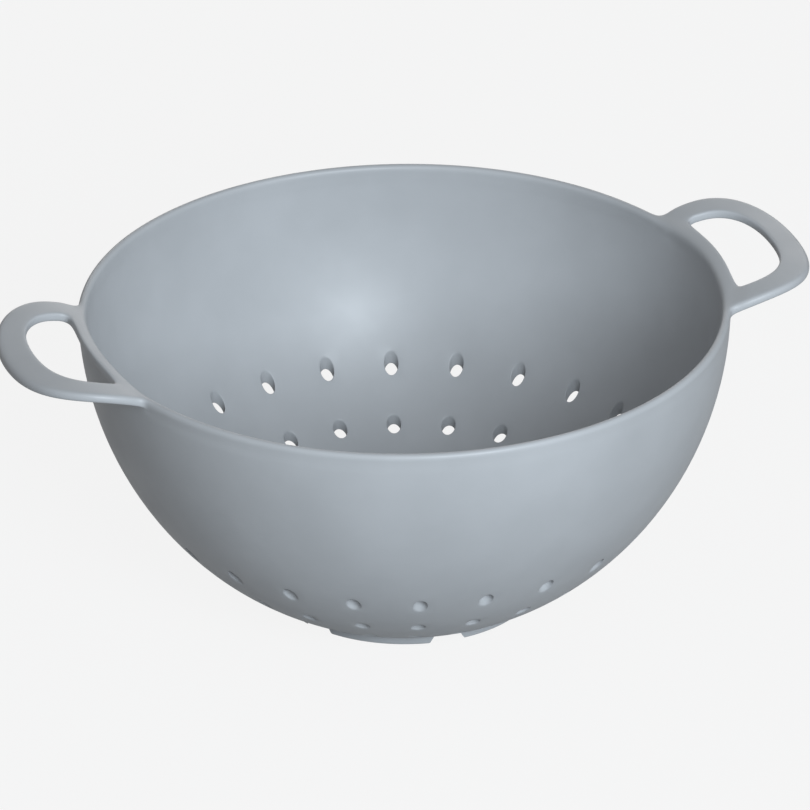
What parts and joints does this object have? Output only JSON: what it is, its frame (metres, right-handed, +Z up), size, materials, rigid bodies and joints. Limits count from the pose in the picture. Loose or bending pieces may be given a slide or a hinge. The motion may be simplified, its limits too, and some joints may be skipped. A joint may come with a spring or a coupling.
{
  "type": "colander",
  "caption": "Round hemispherical plastic colander with rings of drain holes, two arched loop handles on the rim and a low segmented foot ring.",
  "frame": {"origin": "centre of the foot ring on the resting plane", "axes": "+Z up along the bowl's axis, +X through both handles, +Y across them"},
  "size_m": [0.2942, 0.2298, 0.1152],
  "materials": {
    "moulded_plastic": "matte, fine moulded texture"
  },
  "bodies": {
    "root": {"bowl": "moulded_plastic", "handle_left": "moulded_plastic", "handle_right": "moulded_plastic", "foot_segment_1": "moulded_plastic", "foot_segment_2": "moulded_plastic", "foot_segment_3": "moulded_plastic", "foot_segment_4": "moulded_plastic", "foot_segment_5": "moulded_plastic", "foot_segment_6": "moulded_plastic"}
  },
  "joints": []
}
